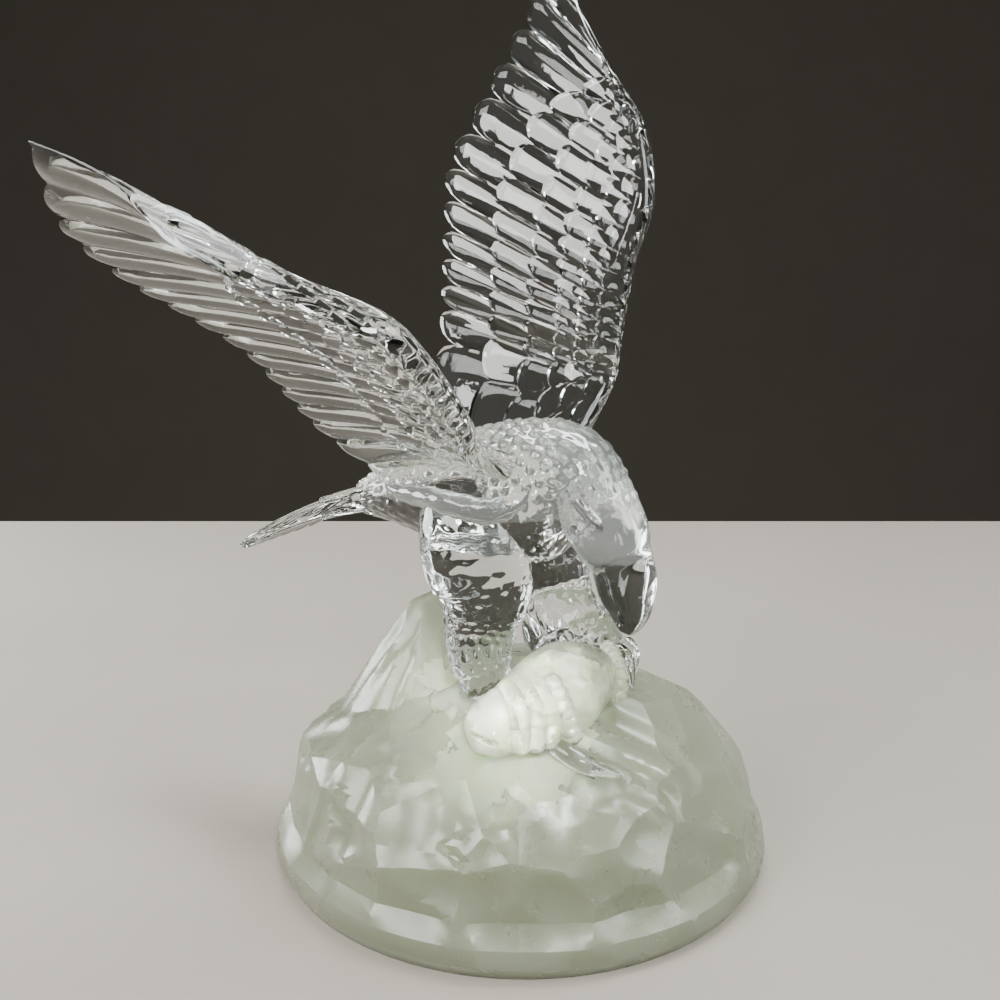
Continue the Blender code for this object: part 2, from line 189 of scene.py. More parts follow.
# The wings and the tail
LEFT_WING_LENGTH = 0.145
RIGHT_WING_LENGTH = 0.134
WING_CHORD_SHARE = 0.525
WING_ARCH_SHARE = 0.042
WING_THICKNESS = 0.0085
EDGE_THICKNESS = 0.0022
# The groove before each row of feathers, and how far the leading edge, the wing's last feather and the
# tips of the last row are rounded, as a share of the feather, in mesh columns and as a share of the row
ROW_GAP = 0.006
FRONT_ROUND = 0.055
SIDE_ROUND = 5
TIP_ROUND = 0.14
# How thin these edges and the tips get, as shares of the thickness, and the least half thickness
FRONT_SHARE = 0.12
TIP_SHARE = 0.25
THINNEST = 0.00015
TAIL_LENGTH = 0.052
TAIL_WIDTH = 0.036
TAIL_THICKNESS = 0.0105
TAIL_EDGE_THICKNESS = 0.0040
LEFT_SPAN = Vector((-0.214, 0.236, 0.948)).normalized()
LEFT_BACK = Vector((-1, 0, 0))
RIGHT_SPAN = Vector((-0.407, -0.713, 0.566)).normalized()
RIGHT_BACK = Vector((-0.981, 0.164, -0.116)).normalized()
LEFT_SHOULDER = (0.094, 0.565, 0.30)
RIGHT_SHOULDER = (0.08, -0.415, 0.155)
LEFT_ARM = (
    (0.00, 0.00), (0.103, -0.11), (0.176, -0.16), (0.248, -0.20),
    (0.345, -0.26), (0.469, -0.355), (0.615, -0.345), (0.759, -0.204),
)
RIGHT_ARM = (
    (0.00, 0.00), (0.095, -0.05), (0.170, -0.11), (0.251, -0.18),
    (0.357, -0.265), (0.468, -0.31), (0.592, -0.172), (0.806, -0.118),
)
LEFT_TIPS = (
    (0.07, 0.64), (0.179, 0.636), (0.307, 0.583), (0.424, 0.549),
    (0.562, 0.507), (0.714, 0.325), (0.862, 0.154), (1.0, -0.013),
)
RIGHT_TIPS = (
    (0.07, 0.64), (0.18, 0.636), (0.313, 0.558), (0.448, 0.459),
    (0.575, 0.459), (0.70, 0.452), (0.855, 0.28), (1.020, -0.168),
)
# Rows of feathers from the leading edge to the tips: where the row ends as a share of the feather,
# feathers in the row, share of a feather the row is shifted by, roundness of the tips, mesh lines
FAR_WING_ROWS = (
    (0.055, 14, 0.0, 0.000, 6),
    (0.135, 19, 0.0, 0.045, 7),
    (0.225, 19, 0.5, 0.050, 7),
    (0.330, 18, 0.0, 0.055, 8),
    (0.480, 16, 0.5, 0.065, 8),
    (0.690, 14, 0.5, 0.080, 11),
    (1.000, 14, 0.0, 0.110, 15),
)
NEAR_WING_ROWS = (
    (0.055, 14, 0.0, 0.000, 6),
    (0.150, 20, 0.0, 0.045, 7),
    (0.250, 20, 0.5, 0.050, 7),
    (0.370, 19, 0.0, 0.055, 8),
    (0.560, 17, 0.5, 0.065, 10),
    (1.000, 16, 0.0, 0.060, 16),
)
TAIL_ROWS = ((0.10, 7, 0.0, 0.0, 3), (0.42, 7, 0.5, 0.09, 9), (1.0, 7, 0.0, 0.11, 17))
WING_COLUMNS = 168
TAIL_COLUMNS = 56

# The fish and the feet on it
FISH_DEPTH = 0.025
FISH_WIDTH = 0.021
TOE_RADIUS = 0.0029
# How deep the rings of a toe are cut, how deep on a beaded toe, and how many there are
RING_DEPTH = 0.00028
BEAD_DEPTH = 0.0008
RINGS = 9
TOES = {
    "toe_right_1": (
        (0.140, -0.670, 0.42), (0.210, -0.791, 0.45), (0.233, -0.822, 0.28), (0.229, -0.822, -0.01)),
    "toe_right_2": (
        (0.156, -0.624, 0.46), (0.241, -0.730, 0.47), (0.264, -0.761, 0.26), (0.261, -0.776, -0.01)),
    "toe_right_3": (
        (0.171, -0.563, 0.51), (0.264, -0.685, 0.49), (0.292, -0.700, 0.26), (0.288, -0.708, -0.01)),
    "toe_right_4": (
        (0.187, -0.502, 0.57), (0.288, -0.639, 0.52), (0.319, -0.624, 0.27), (0.334, -0.586, -0.01)),
    "toe_left_1": (
        (0.257, 0.152, 0.30), (0.299, 0.046, 0.31), (0.334, -0.015, 0.21), (0.358, -0.107, -0.02)),
}
BEADED_TOES = ("toe_right_4", "toe_left_1")
CLAWS = {
    "claw_right": ((0.280, -0.685, 0.02), (0.389, -0.685, 0.00), (0.490, -0.593, -0.02)),
    "claw_left_1": ((0.268, 0.198, 0.29), (0.319, 0.167, 0.23), (0.358, 0.107, 0.00)),
    "claw_left_2": ((0.264, 0.380, 0.31), (0.303, 0.320, 0.20), (0.327, 0.259, -0.01)),
}
CLAW_TAPER = (0.80, 0.90, 0.20)
# The order in which the forms are fused to the rock
FORMS = (
    "fish", *TOES, *CLAWS, "leg_right", "leg_left", "torso", "fold_right", "fold_left", "head",
    "brow_left", "brow_right", "eye_left", "eye_right", "tail", "wing_right", "wing_left",
)
# The fusing leaves small holes of up to this many sides, which are closed
HOLE_SIDES = 8

# The camera's place and how far it looks down
EYE_ASIDE = -0.0059
EYE_BACK = 0.293
PITCH = math.radians(13.4)
# The table's reach before the sculpture, the wall behind it, and the light from all round
TABLE_BEFORE = 3
TABLE_WIDTH = 6
WALL_BEHIND = 2.4
WALL_MIDDLE = 2
WALL_SIZE = (12, 6)
SKY_COLOUR = (0.30, 0.32, 0.32, 1)
SKY_STRENGTH = 0.7
# What the lamps point at
MIDDLE = Vector((0, 0, 0.10))
ROCK_MIDDLE = Vector((0, 0, 0.04))
TOES_MIDDLE = Vector((0.018, -0.035, 0.056))
# The lamps: place aside, along the line of sight and up, target, size, power in watts, colour, and the
# angle in degrees that it lights
LAMPS = {
    "key_lamp": ((-0.58, -0.36, 0.56), MIDDLE, (0.60, 0.34), 13, (1, 0.99, 0.97), 180),
    "fill_lamp": ((0.75, -0.30, 0.55), MIDDLE, (0.45, 0.60), 9, (0.96, 1, 1), 180),
    "rim_lamp": ((0.15, 0.30, 0.85), MIDDLE, (0.70, 0.20), 17, (0.96, 1, 0.99), 180),
    "back_lamp": ((-0.50, 0.26, 0.16), ROCK_MIDDLE, (0.25, 0.20), 3, (0.95, 1, 0.98), 180),
    "front_lamp": ((0.06, -0.36, 0.33), ROCK_MIDDLE, (0.09, 0.09), 1.7, (0.95, 1, 0.97), 180),
    "toe_lamp": ((0.06, -0.36, 0.33), TOES_MIDDLE, (0.03, 0.03), 0.065, (0.92, 1, 0.96), 5),
}


class CarvingSizes(bpy.types.PropertyGroup):
    """Depths of the carving in the glass."""

    groove_depth: bpy.props.FloatProperty(
        name="Feather groove", description="Depth of the grooves between flight feathers",
        default=0.0011, min=0, max=0.002, unit="LENGTH")
    row_rise: bpy.props.FloatProperty(
        name="Feather tip rise", description="How far a feather's tip stands over the next row",
        default=0.0009, min=0, max=0.002, unit="LENGTH")
    scale_rise: bpy.props.FloatProperty(
        name="Body feather rise", description="How far the small feathers of the body stand proud",
        default=0.0008, min=0, max=0.002, unit="LENGTH")
    chip_depth: bpy.props.FloatProperty(
        name="Chip depth", description="How deep the rock's large chips cut into the dome",
        default=0.0026, min=0, max=0.006, unit="LENGTH")
    gouge_depth: bpy.props.FloatProperty(
        name="Gouge depth", description="How deep the small gouges cut, as a share of their drawn depth",
        default=0.9, min=0, max=2, subtype="FACTOR")


class GlassFinish(bpy.types.PropertyGroup):
    """Colours and finish of the glass."""

    clear_tint: bpy.props.FloatVectorProperty(
        name="Clear glass", description="Tint of the polished glass",
        default=(0.965, 0.985, 0.975), min=0, max=1, subtype="COLOR")
    etched_tint: bpy.props.FloatVectorProperty(
        name="Etched glass", description="Tint of the satin-etched glass",
        default=(0.85, 0.90, 0.66), min=0, max=1, subtype="COLOR")
    ripple: bpy.props.FloatProperty(
        name="Mould ripple", description="Strength of the soft ripples that the mould leaves",
        default=0.12, min=0, max=1, subtype="FACTOR")


class StageLook(bpy.types.PropertyGroup):
    """The table, the wall behind it and the camera."""

    floor_colour: bpy.props.FloatVectorProperty(
        name="Table", description="Colour of the table top",
        default=(0.24, 0.215, 0.19), min=0, max=1, subtype="COLOR")
    wall_colour: bpy.props.FloatVectorProperty(
        name="Wall", description="Colour of the wall behind the table",
        default=(0.105, 0.090, 0.073), min=0, max=1, subtype="COLOR")
    table_behind: bpy.props.FloatProperty(
        name="Table behind", description="How far the table top reaches behind the sculpture",
        default=0.36, min=0.1, max=3, unit="LENGTH")
    lens: bpy.props.FloatProperty(
        name="Lens", description="Focal length of the camera",
        default=0.0396, min=0.01, max=0.2, unit="CAMERA")
    eye_height: bpy.props.FloatProperty(
        name="Eye height", description="Height of the camera above the table",
        default=0.169, min=0.01, max=1, unit="LENGTH")


# Small tools shared by the operators


def clear_selection():
    """Nothing selected, in object mode."""
    if bpy.context.mode != "OBJECT":
        bpy.ops.object.mode_set(mode="OBJECT")
    bpy.ops.object.select_all(action="DESELECT")


def choose(obj):
    """Makes an object the only one selected, and the active one."""
    clear_selection()
    obj.select_set(True)
    bpy.context.view_layer.objects.active = obj


def spline(points, share):
    """The point a share of the way along a smooth curve through evenly spread points."""
    span = share * (len(points) - 1)
    i = min(int(span), len(points) - 2)
    f = span - i
    b, c = points[i], points[i + 1]
    a = points[i - 1] if i else b * 2 - c
    d = points[i + 2] if i + 2 < len(points) else c * 2 - b
    curve = a * (-f + 2 * f**2 - f**3) + b * (2 - 5 * f**2 + 3 * f**3)
    return (curve + c * (f + 4 * f**2 - 3 * f**3) + d * (f**3 - f**2)) / 2


def ease(low, high, value):
    """Goes smoothly from 0 at low to 1 at high."""
    f = min(1.0, max(0.0, (value - low) / (high - low)))
    return f * f * (3 - 2 * f)


def bow(across):
    """Height of a half circle, across from -1 to 1."""
    return math.sqrt(max(0.0, 1 - across * across))


def finished(obj, places, finish):
    """Moves the vertices to their places, turns the faces outwards and gives every face its finish."""
    obj.data.vertices.foreach_set("co", [c for place in places for c in place])
    obj.data.update()
    choose(obj)
    bpy.ops.object.mode_set(mode="EDIT")
    bpy.ops.mesh.select_all(action="SELECT")
    bpy.ops.mesh.normals_make_consistent(inside=False)
    bpy.ops.object.mode_set(mode="OBJECT")
    for material in finishes():
        obj.data.materials.append(material)
    obj.data.polygons.foreach_set("material_index", [finish] * len(obj.data.polygons))
    return obj


def refinish(obj, height, finish):
    """Gives the faces below a height another finish."""
    for face in obj.data.polygons:
        if face.center.z < height:
            face.material_index = finish


def turns(mesh):
    """Every edge between two faces, with the faces and the angle that the surface turns there."""
    faces = {}
    for face in mesh.polygons:
        for key in face.edge_keys:
            faces.setdefault(key, []).append(face)
    for edge in mesh.edges:
        sides = faces.get(edge.key, ())
        if len(sides) == 2:
            yield edge, sides, sides[0].normal.angle(sides[1].normal, 0)


def sided(name, side):
    """A piece's name with its side: 1 is the left and -1 the right."""
    return name + ("_left" if side > 0 else "_right")


def ball(name, segments, rings):
    """A ball whose rings are then moved onto the sections of a form."""
    clear_selection()
    bpy.ops.mesh.primitive_uv_sphere_add(segments=segments, ring_count=rings, radius=1)
    obj = bpy.context.object
    obj.name = name
    return obj


def swept(name, sections, segments, rings, finish, relief=None, ends=(0.05, 0.05), sideways=LEFTWARDS):
    """A closed form through oval sections (centre, half width, half depth), rounded off at both ends.

    relief gives how far the surface stands proud, from the share along the form and the angle round it.
    ends are the shares of the form that are rounded off, and the widths lie sideways.
    """
    obj = ball(name, segments, rings)
    centres = [s[0] for s in sections]
    widths = [s[1] for s in sections]
    depths = [s[2] for s in sections]
    table = []
    for k in range(rings + 1):
        f = k / rings
        ahead = spline(centres, min(1.0, f + 0.01)) - spline(centres, max(0.0, f - 0.01))
        ahead.normalize()
        across = (sideways - ahead * sideways.dot(ahead)).normalized()
        cap = 1.0
        if f < ends[0]:
            cap = bow(1 - f / ends[0])
        if f > 1 - ends[1]:
            cap = bow(1 - (1 - f) / ends[1])
        up = ahead.cross(across)
        table.append((f, spline(centres, f), across, up, spline(widths, f), spline(depths, f), cap))
    places = []
    for v in obj.data.vertices:
        k = round(math.acos(max(-1.0, min(1.0, v.co.z))) / math.pi * rings)
        f, centre, across, up, width, depth, cap = table[k]
        angle = math.atan2(v.co.y, v.co.x) if 0 < k < rings else 0.0
        cos, sin = math.cos(angle), math.sin(angle)
        place = centre + (across * width * cos + up * depth * sin) * cap
        if relief:
            normal = across * cos * depth + up * sin * width
            normal.normalize()
            place = place + normal * relief(f, angle) * cap
        places.append(place)
    return finished(obj, places, finish)


def lapped(along, around):
    """Small overlapping feathers: 0 at a feather's root, 1 at its rounded tip.

    along counts the rows, and around the feathers in a row.
    """
    for back in (1, 0):
        row = math.floor(along) - back
        x = along - row
        across = 2 * ((around + 0.5 * (row % 2)) % 1) - 1
        reach = 1 + 0.42 * bow(across)
        if x <= reach:
            crown = 0.35 * (bow(across) - 1)
            return (x / reach) ** 0.7 + crown
    return 0.0


def drops(along, around):
    """Small feathers that stand apart like drops: 1 on the middle of a drop, 0 between them."""
    row = math.floor(along)
    across = 2 * ((around + 0.5 * (row % 2) + 0.11 * math.sin(4.7 * row)) % 1) - 1
    drawn = 2 * (along - row) - 1
    return max(0.0, 1 - (across / 0.62) ** 2 - (drawn / 0.85) ** 2) ** 0.7


# The glass


class Finish:
    """A new material, whose colour, roughness and bumps come from noise on Object coordinates."""

    def __init__(self, name):
        self.material = bpy.data.materials.new(name)
        self.material.use_nodes = True
        self.nodes = self.material.node_tree.nodes
        self.sockets = self.nodes["Principled BSDF"].inputs
        self.where = self.nodes.new("ShaderNodeTexCoord")

    def link(self, source, target):
        """Links an output to an input."""
        self.material.node_tree.links.new(source, target)

    def drive(self, sources):
        """Links an output to each named socket of the shader."""
        for socket, source in sources.items():
            self.link(source, self.sockets[socket])

    def fix(self, values):
        """Gives each named socket of the shader a plain value."""
        for socket, value in values.items():
            self.sockets[socket].default_value = value

    def noise(self, scale, detail=2.0, stretch=(1, 1, 1)):
        """Noise in the object's own space."""
        mapping = self.nodes.new("ShaderNodeMapping")
        mapping.inputs["Scale"].default_value = stretch
        self.link(self.where.outputs["Object"], mapping.inputs["Vector"])
        texture = self.nodes.new("ShaderNodeTexNoise")
        texture.inputs["Scale"].default_value = scale
        texture.inputs["Detail"].default_value = detail
        self.link(mapping.outputs["Vector"], texture.inputs["Vector"])
        return texture.outputs["Fac"]

    def ranged(self, source, low, high):
        """Spreads the middle of a noise from low to high."""
        node = self.nodes.new("ShaderNodeMapRange")
        node.inputs["From Min"].default_value, node.inputs["From Max"].default_value = NOISE_MIDDLE
        node.inputs["To Min"].default_value = low
        node.inputs["To Max"].default_value = high
        self.link(source, node.inputs["Value"])
        return node.outputs["Result"]

    def mixed(self, source, first, second):
        """Goes from one colour to another with a source."""
        node = self.nodes.new("ShaderNodeMix")
        node.data_type = "RGBA"
        node.inputs["A"].default_value = (*first, 1)
        node.inputs["B"].default_value = (*second, 1)
        self.link(source, node.inputs["Factor"])
        return node.outputs["Result"]

    def mottled(self, scale, detail, tint, shares):
        """A tint that passes in cloudy patches to shares of itself."""
        cloudy = tuple(part * share for part, share in zip(tint, shares))
        return self.mixed(self.ranged(self.noise(scale, detail), 0, 1), tint, cloudy)

    def bumped(self, source, strength, distance, under=None):
        """Bumps of a height in metres, over other bumps where they are given."""
        node = self.nodes.new("ShaderNodeBump")
        node.inputs["Strength"].default_value = strength
        node.inputs["Distance"].default_value = distance
        self.link(source, node.inputs["Height"])
        if under:
            self.link(under, node.inputs["Normal"])
        return node.outputs["Normal"]


def polished(name):
    """Polished clear crystal with the soft ripples that the mould leaves."""
    look = bpy.context.scene.glass_finish
    finish = Finish(name)
    colour = finish.mottled(35, 2, tuple(look.clear_tint), (0.97, 0.985, 0.98))
    rough = finish.ranged(finish.noise(90, 3), 0.0, 0.05)
    soft = finish.bumped(finish.noise(110, 1), look.ripple, 0.0012)
    fine = finish.bumped(finish.noise(420, 2), look.ripple * 0.5, 0.0004, soft)
    finish.drive({"Base Color": colour, "Roughness": rough, "Normal": fine})
    finish.fix({"Transmission Weight": 1.0, "IOR": 1.52})
    return finish.material


def frosted(name, see_through, rough):
    """Etched glass: pale, softly see-through, with a silky grain and cloudy thicker places."""
    look = bpy.context.scene.glass_finish
    finish = Finish(name)
    colour = finish.mottled(28, 3, tuple(look.etched_tint), (0.90, 0.92, 0.88))
    roughness = finish.ranged(finish.noise(60, 4), *rough)
    swirl = finish.bumped(finish.noise(75, 3, (1, 1, 2.2)), 0.20, 0.0012)
    grain = finish.bumped(finish.noise(2200, 2), 0.12, 0.0002, swirl)
    finish.drive({"Base Color": colour, "Roughness": roughness, "Normal": grain})
    finish.fix({"Transmission Weight": see_through, "IOR": 1.50})
    finish.fix({"Subsurface Weight": 1.0, "Subsurface Radius": (1.0, 1.0, 1.0), "Subsurface Scale": 0.006})
    return finish.material


def carved(name):
    """Clear glass under feathers so small and dense that it looks milky."""
    look = bpy.context.scene.glass_finish
    finish = Finish(name)
    colour = finish.mottled(45, 3, tuple(look.clear_tint), (0.92, 0.97, 0.93))
    rough = finish.ranged(finish.noise(120, 3), 0.03, 0.14)
    ripples = finish.bumped(finish.noise(260, 2), look.ripple, 0.0006)
    finish.drive({"Base Color": colour, "Roughness": rough, "Normal": ripples})
    finish.fix({"Transmission Weight": 0.91, "IOR": 1.52})
    return finish.material


def finishes():
    """The casting's finishes in the order of their slots, each made the first time it is asked for."""
    kinds = (
        (polished, "clear_crystal"),
        (frosted, "satin_etched_rock", 0.82, (0.22, 0.38)),
        (frosted, "satin_etched_fish", 0.78, (0.22, 0.36)),
        (carved, "carved_crystal"),
    )
    return [bpy.data.materials.get(name) or make(name, *rest) for make, name, *rest in kinds]


# The rock


def dome_point(direction):
    """The smooth dome, rounded above a short upright band, along a direction from its centre."""
    flat = math.hypot(direction.x, direction.y) / ROCK_RADIUS
    high = abs(direction.z) / (ROCK_HEIGHT - FOOT_BAND)
    reach = (flat**ROCK_SQUARENESS + high**ROCK_SQUARENESS) ** (-1 / ROCK_SQUARENESS)
    return direction * reach + Vector((0, 0, FOOT_BAND))


def chip_plane(azimuth, height, depth, order):
    """A plane that cuts a chip off the dome: its normal and its distance from the foot's centre.

    Sines of the chip's number in order make its lean and its depth uneven.
    """
    point = dome_place(azimuth, height)
    turn = math.radians(azimuth) + 2.4 * order
    slope = Vector((point.x / ROCK_RADIUS**2, point.y / ROCK_RADIUS**2, point.z / ROCK_HEIGHT**2))
    normal = slope.normalized()
    tilt = Vector((math.cos(turn), math.sin(turn), 0.7 * math.sin(3.1 * order))) * CHIP_LEAN
    normal = (normal + tilt).normalized()
    return normal, normal.dot(point) - depth * (1 + 0.35 * math.sin(5.7 * order))


def chips(depth):
    """Planes that cut the dome into chips: those seen from the front, and rows round the rest."""
    planes = [chip_plane(azimuth, height, depth, i) for i, (azimuth, height) in enumerate(FRONT_CHIPS)]
    for row, (height, count) in enumerate(BACK_CHIP_ROWS):
        for i in range(count):
            wobble = math.sin(12.9 * i + 7.3 * row)
            azimuth = BACK_START + (BACK_END - BACK_START) * (i + 0.5 + 0.3 * wobble) / count
            lifted = height + 0.05 * math.sin(5.1 * i + 2.7 * row)
            planes.append(chip_plane(azimuth, lifted, depth, i + 7 * row))
    return planes


def dome_place(azimuth, height):
    """A place on the dome: azimuth in degrees, height as a share of the rock's."""
    high = max(0.0, height * ROCK_HEIGHT - FOOT_BAND)
    share = min(1.0, high / (ROCK_HEIGHT - FOOT_BAND))
    flat = ROCK_RADIUS * (1 - share**ROCK_SQUARENESS) ** (1 / ROCK_SQUARENESS)
    turn = math.radians(azimuth)
    return Vector((flat * math.cos(turn), flat * math.sin(turn), high + FOOT_BAND))


def gouges():
    """Every gouge as its two ends, half width and depth."""
    found = [(dome_place(*a), dome_place(*b), width, depth) for a, b, width, depth in GOUGES]
    for row, (height, count, start) in enumerate(GOUGE_ROWS):
        for i in range(count):
            wobble = math.sin(9.7 * i + 4.1 * row)
            azimuth = 360 * (start + (i + 0.25 * wobble) / count)
            lift = height + 0.05 * math.sin(6.3 * i + 2.2 * row)
            lean = 7 * math.sin(3.7 * i + 1.3 * row)
            ends = dome_place(azimuth - lean, lift + 0.05), dome_place(azimuth + lean, lift - 0.05)
            width = GOUGE_WIDTH + 0.0022 * math.sin(8.3 * i + row)
            found.append((*ends, width, GOUGE_DEPTH + 0.0004 * wobble))
    return found


def chip_over(point, planes):
    """The two chips that lie lowest over a place on the dome.

    Each is given as its share of the place's distance from the foot's centre, and its number.
    """
    shares = [(distance / max(1e-6, normal.dot(point)), i) for i, (normal, distance) in enumerate(planes)]
    return sorted(share for share in shares if share[0] > 0)[:2]


def chipped(point, planes):
    """A place on the dome moved onto the lowest chip over it, a little deeper away from the chip's edges."""
    share, further = (lowest[0] for lowest in chip_over(point, planes))
    fade = min(1.0, max(0.0, (point.z - FOOT_BAND) / CHIP_FADE))
    dish = CHIP_DISH * (1 - math.exp((share - further) / CHIP_DISH_EDGE))
    return point * (1 - (1 - share + dish) * fade)


def bisected(mesh, faces, near, place, across):
    """Cuts faces of a mesh by a plane; points nearer to it than near count as on it."""
    parts = [*faces, *{e for f in faces for e in f.edges}, *{v for f in faces for v in f.verts}]
    return bmesh.ops.bisect_plane(mesh, geom=parts, dist=near, plane_co=place, plane_no=across)


def split_on_creases(obj, planes):
    """Cuts the dome's mesh along the creases between its chips, and marks them sharp."""
    mesh = bmesh.new()
    mesh.from_mesh(obj.data)
    chip = {v: chip_over(v.co, planes)[0][1] for v in mesh.verts}
    mixed = {}
    for face in mesh.faces:
        kinds = tuple(sorted({chip[v] for v in face.verts}))
        if len(kinds) > 1 and face.calc_center_median().z > FOOT_BAND:
            mixed.setdefault(kinds, []).append(face)
    for kinds, faces in sorted(mixed.items(), key=lambda item: item[0]):
        for first, second in itertools.combinations(kinds, 2):
            across = planes[first][0] / planes[first][1] - planes[second][0] / planes[second][1]
            cut = bisected(mesh, faces, ON_CREASE, (0, 0, 0), across)
            faces = [part for part in cut["geom"] if isinstance(part, bmesh.types.BMFace)]
            for part in cut["geom_cut"]:
                if isinstance(part, bmesh.types.BMEdge):
                    part.smooth = False
    bmesh.ops.remove_doubles(mesh, verts=mesh.verts, dist=SLIVER)
    bmesh.ops.triangulate(mesh, faces=mesh.faces)
    bmesh.ops.dissolve_degenerate(mesh, dist=SLIVER / 8, edges=mesh.edges)
    mesh.to_mesh(obj.data)
    mesh.free()


def gouged(point, cuts):
    """How deep the gouges cut at a place on the dome: the deepest one counts."""
    deepest = 0.0
    for start, end, width, depth in cuts:
        if (start - point).length > GOUGE_REACH:
            continue
        line = end - start
        along = min(1.0, max(0.0, (point - start).dot(line) / max(1e-9, line.length_squared)))
        near = (start + line * along - point).length_squared / (width * width)
        deepest = max(deepest, depth * max(0.0, 1 - near) ** 1.5)
    return deepest


def rock_point(dome, planes, cuts, share_of_depth):
    """The rock's surface over a place on the smooth dome, with the swelling and the crag at the back."""
    direction = dome.normalized()
    point = chipped(dome, planes)
    fade = min(1.0, max(0.0, (dome.z - FOOT_BAND) / CHIP_FADE))
    point = point - direction * gouged(dome, cuts) * share_of_depth * fade
    x, y, z = SWELLING
    away = (point - Vector((x * ROCK_RADIUS, y * ROCK_RADIUS, z * ROCK_HEIGHT))).length / SWELLING_RADIUS
    point += direction * SWELLING_RISE * max(0.0, 1 - away * away)
    away = (point.xy - Vector(CRAG) * ROCK_RADIUS).length / CRAG_RADIUS
    point.z += CRAG_RISE * min(1.0, CRAG_STEEPNESS * max(0.0, 1 - away))
    return point


class GLASSEAGLE_OT_rock(bpy.types.Operator):
    """Moulds the rock dome with its chips and its flat ground foot"""

    bl_idname = "glass_eagle.rock"
    bl_label = "Rock"

    def execute(self, context):
        carving = context.scene.carving_sizes
        planes = chips(carving.chip_depth)
        cuts = gouges()
        clear_selection()
        bpy.ops.mesh.primitive_uv_sphere_add(segments=ROCK_SEGMENTS, ring_count=2 * ROCK_RINGS, radius=1)
        obj = context.object
        obj.name = "rock"
        bpy.ops.object.mode_set(mode="EDIT")
        bpy.ops.mesh.select_all(action="SELECT")
        bpy.ops.mesh.bisect(plane_co=(0, 0, 0), plane_no=(0, 0, 1), clear_inner=True, use_fill=False)
        bpy.ops.mesh.select_all(action="DESELECT")
        bpy.ops.object.mode_set(mode="OBJECT")
        for v in obj.data.vertices:
            v.co = dome_point(v.co.normalized())
        split_on_creases(obj, planes)
        edge = [v.index for v in obj.data.vertices if v.co.z < FOOT_BAND + 1e-4]
        for v in obj.data.vertices:
            v.co = rock_point(v.co, planes, cuts, carving.gouge_depth)
        for i in edge:
            obj.data.vertices[i].co.z = 2 * FOOT_CHAMFER
        bpy.ops.object.mode_set(mode="EDIT")
        bpy.ops.mesh.select_mode(type="EDGE")
        bpy.ops.mesh.select_all(action="DESELECT")
        bpy.ops.mesh.select_non_manifold(extend=False)
        slope = 1 - FOOT_CHAMFER / ROCK_RADIUS
        bpy.ops.mesh.extrude_edges_move(TRANSFORM_OT_translate={"value": (0, 0, -2 * FOOT_CHAMFER)})
        bpy.ops.transform.resize(value=(slope, slope, 1), center_override=(0, 0, 0))
        bpy.ops.mesh.edge_face_add()
        bpy.ops.object.mode_set(mode="OBJECT")
        finished(obj, [v.co.copy() for v in obj.data.vertices], ETCHED)
        for edge, sides, turn in turns(obj.data):
            if turn > ROCK_CREASE:
                edge.use_edge_sharp = True
        refinish(obj, FOOT_BAND / 2, SATIN)
        return {"FINISHED"}


# The body


def on_body(x, y, z):
    """A place in shares of the body's length, width and depth from its centre."""
    return BODY_CENTRE + Vector((x * BODY_LENGTH, y * BODY_WIDTH, z * BODY_DEPTH))


